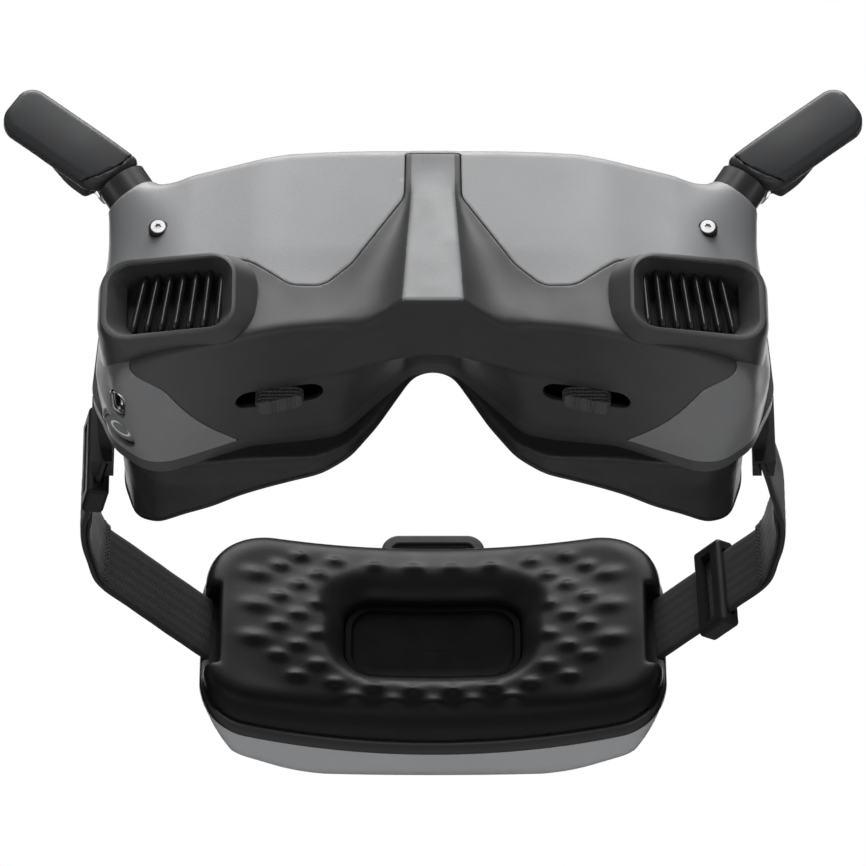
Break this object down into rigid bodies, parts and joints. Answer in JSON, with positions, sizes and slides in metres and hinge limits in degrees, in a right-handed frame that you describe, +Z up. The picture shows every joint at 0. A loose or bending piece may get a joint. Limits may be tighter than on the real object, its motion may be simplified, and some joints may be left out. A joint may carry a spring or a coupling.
{
  "type": "fpv goggles",
  "caption": "Video goggles for drone flying with two folding antennas, sliding eyepieces, vents, face cushion, and a headband that carries a padded battery",
  "frame": {"origin": "midway between the wearer's eyes, on the height of the lens axes", "axes": "+Z up with the wearer upright, the wearer looks towards -Y and the head fills the +Y side, +X is the wearer's left"},
  "size_m": [0.2184, 0.2232, 0.111],
  "materials": {
    "shell_grey": "fine-grained satin grey",
    "shell_dark": "fine-grained satin near-black",
    "black_gloss": "glossy black",
    "black_plastic": "matte black",
    "soft_leather": "black synthetic leather over foam",
    "webbing": "black woven elastic",
    "pad_rubber": "moulded foam with low bumps",
    "lens_glass": "coated clear",
    "screen": "dark micro display",
    "steel": "plain",
    "aluminium": "extruded",
    "circuit": "solder mask",
    "copper_foil": "etched element",
    "cell_wrap": "shrink wrap",
    "light": "milky light guide",
    "grey_battery": "fine-grained satin grey",
    "chrome_rim": "bright"
  },
  "bodies": {
    "goggles": {"main_cover": "shell_grey", "front_mask": "shell_dark", "rear_frame": "shell_dark", "front_screws": "steel", "proximity_window": "screen", "ipd_rod": "steel", "face_cushion": "soft_leather", "main_board": "circuit", "heat_sink": "aluminium", "fan_housing": "black_plastic", "usb_socket": "chrome_rim", "power_switch": "black_plastic", "joystick_dish": "black_plastic", "control_board": "circuit", "strap_pivots": "steel", "vent_frame_left": "shell_dark", "vent_frame_right": "shell_dark", "vent_grille_left": "black_gloss", "vent_grille_right": "black_gloss", "antenna_neck_left": "shell_dark", "antenna_neck_right": "shell_dark"},
    "fan": {"fan_impeller": "black_plastic"},
    "power_key": {"power_button": "shell_dark", "button_light_ring": "light"},
    "back_key": {"back_button": "shell_dark"},
    "stick_ring": {"joystick_gimbal": "steel"},
    "stick": {"joystick_stick": "black_plastic"},
    "headband": {"strap_clips": "black_plastic", "strap_left": "webbing", "strap_right": "webbing", "power_lead": "black_plastic", "battery_shell": "grey_battery", "battery_rim": "black_plastic", "battery_cells": "cell_wrap", "battery_board": "circuit", "crown_strap_loop": "black_plastic", "head_pad": "pad_rubber"},
    "adjuster_left": {"strap_adjuster_left": "black_plastic"},
    "adjuster_right": {"strap_adjuster_right": "black_plastic"},
    "eye_left": {"eye_barrel_left": "black_plastic", "eye_lens_left": "lens_glass", "inner_lens_left": "lens_glass", "display_left": "screen", "ipd_knob_left": "black_plastic"},
    "antenna_left": {"antenna_cover_left": "shell_dark", "antenna_case_left": "shell_dark", "antenna_element_left": "copper_foil", "antenna_pin_left": "steel"},
    "eye_right": {"eye_barrel_right": "black_plastic", "eye_lens_right": "lens_glass", "inner_lens_right": "lens_glass", "display_right": "screen", "ipd_knob_right": "black_plastic"},
    "antenna_right": {"antenna_cover_right": "shell_dark", "antenna_case_right": "shell_dark", "antenna_element_right": "copper_foil", "antenna_pin_right": "steel"}
  },
  "joints": [
    {"name": "eye_left_ipd", "type": "slide", "parent": "goggles", "child": "eye_left", "axis": [1, 0, 0], "range_m": [-0.004, 0.004]},
    {"name": "eye_right_ipd", "type": "slide", "parent": "goggles", "child": "eye_right", "axis": [-1, 0, 0], "range_m": [-0.004, 0.004]},
    {"name": "antenna_right_fold", "type": "hinge", "parent": "goggles", "child": "antenna_right", "pos_m": [-0.08034, -0.03245, 0.03887], "axis": [-0.8305, 0, -0.557], "range_deg": [0, 90]},
    {"name": "antenna_left_fold", "type": "hinge", "parent": "goggles", "child": "antenna_left", "pos_m": [0.08034, -0.03245, 0.03887], "axis": [-0.8305, 0, 0.557], "range_deg": [0, 90]},
    {"name": "power_button_press", "type": "slide", "parent": "goggles", "child": "power_key", "axis": [0.5549, 0, 0.8319], "range_m": [0, 0.0008], "stiffness_N_per_m": 400, "springref_m": -0.001},
    {"name": "back_button_press", "type": "slide", "parent": "goggles", "child": "back_key", "axis": [0, 0, -1], "range_m": [0, 0.0008], "stiffness_N_per_m": 400, "springref_m": -0.001},
    {"name": "joystick_tilt_fore_aft", "type": "hinge", "parent": "goggles", "child": "stick_ring", "pos_m": [-0.044, -0.033, 0.0306], "axis": [1, 0, 0], "range_deg": [-8, 8], "stiffness_Nm_per_rad": 0.02},
    {"name": "joystick_tilt_side", "type": "hinge", "parent": "stick_ring", "child": "stick", "pos_m": [-0.044, -0.033, 0.0306], "axis": [0, 1, 0], "range_deg": [-8, 8], "stiffness_Nm_per_rad": 0.02},
    {"name": "fan_spin", "type": "hinge", "parent": "goggles", "child": "fan", "pos_m": [0, -0.032, 0.03], "axis": [0, 0, 1], "continuous": true},
    {"name": "headband_swing", "type": "hinge", "parent": "goggles", "child": "headband", "pos_m": [0, -0.006, -0.013], "axis": [1, 0, 0], "range_deg": [-20, 30]},
    {"name": "adjuster_right_slide", "type": "slide", "parent": "headband", "child": "adjuster_right", "axis": [-0.2156, 0.9755, -0.0442], "range_m": [-0.0015, 0.008]},
    {"name": "adjuster_left_slide", "type": "slide", "parent": "headband", "child": "adjuster_left", "axis": [-0.5753, 0.8147, -0.0727], "range_m": [-0.006, 0.004]}
  ]
}
